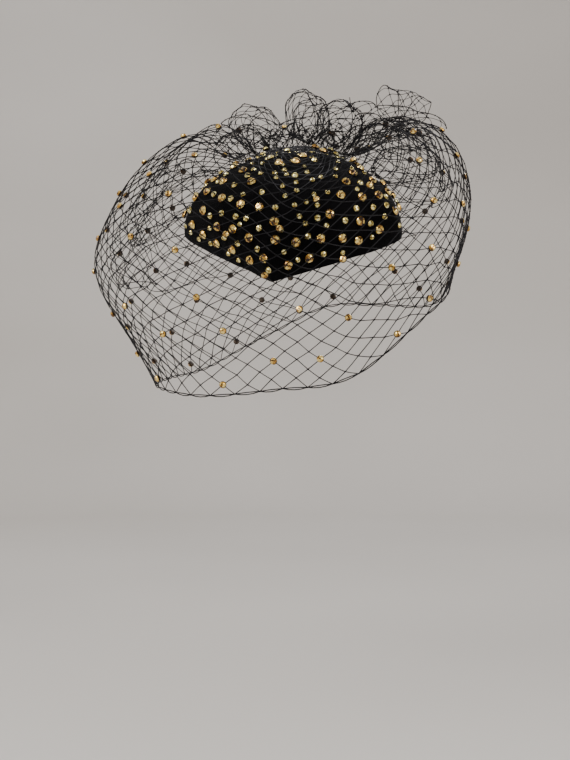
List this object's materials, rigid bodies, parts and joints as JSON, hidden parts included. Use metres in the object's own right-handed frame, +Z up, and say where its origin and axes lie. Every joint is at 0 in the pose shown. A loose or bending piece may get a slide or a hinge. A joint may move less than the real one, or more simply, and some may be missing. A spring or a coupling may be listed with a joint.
{
  "type": "cocktail hat",
  "caption": "Velvet teardrop percher cap scattered with stones, under a gathered birdcage veil of coarse diamond net with standing loops, and a comb inside.",
  "frame": {"origin": "centre of the cap's head opening, in the plane of its rim, as worn", "axes": "+X to the right as one faces the hat, +Y to the back of the head, +Z up"},
  "size_m": [0.2675, 0.2016, 0.2261],
  "materials": {
    "velvet": "black silk velvet with a short dense pile, over a stiffened base",
    "net": "dark brown-black nylon millinery net, knotted strands with a slight sheen",
    "topaz_stone": "faceted amber topaz glass, foiled behind",
    "champagne_stone": "small faceted champagne gold glass, foiled behind",
    "stone_back": "dark lacquered foil on the flat backs of the stones",
    "thread": "fine pale thread",
    "comb": "black plastic"
  },
  "bodies": {
    "root": {"cap": "velvet", "net_gather": "net", "veil": "net", "loop_centre": "net", "loop_right_tall": "net", "loop_left": "net", "loop_right_low": "net", "loop_right_inner": "net", "loop_left_inner": "net", "comb": "comb", "stone_01": "topaz_stone", "stone_02": "topaz_stone", "stone_03": "topaz_stone", "stone_04": "topaz_stone", "stone_05": "topaz_stone", "stone_06": "topaz_stone", "stone_07": "topaz_stone", "stone_08": "topaz_stone", "stone_09": "topaz_stone", "stone_10": "topaz_stone", "stone_11": "topaz_stone", "stone_12": "topaz_stone", "stone_13": "topaz_stone", "stone_14": "topaz_stone", "stone_15": "topaz_stone", "stone_16": "topaz_stone", "stone_17": "topaz_stone", "stone_18": "topaz_stone", "stone_19": "topaz_stone", "stone_20": "topaz_stone", "stone_21": "topaz_stone", "stone_22": "topaz_stone", "stone_23": "topaz_stone", "stone_24": "topaz_stone", "stone_25": "topaz_stone", "stone_26": "topaz_stone", "stone_27": "topaz_stone", "stone_28": "topaz_stone", "stone_29": "topaz_stone", "stone_30": "topaz_stone", "stone_31": "topaz_stone", "stone_32": "topaz_stone", "stone_33": "topaz_stone", "stone_34": "topaz_stone", "stone_35": "topaz_stone", "stone_36": "topaz_stone", "stone_37": "topaz_stone", "stone_38": "topaz_stone", "stone_39": "topaz_stone", "stone_40": "topaz_stone"}
  },
  "joints": []
}
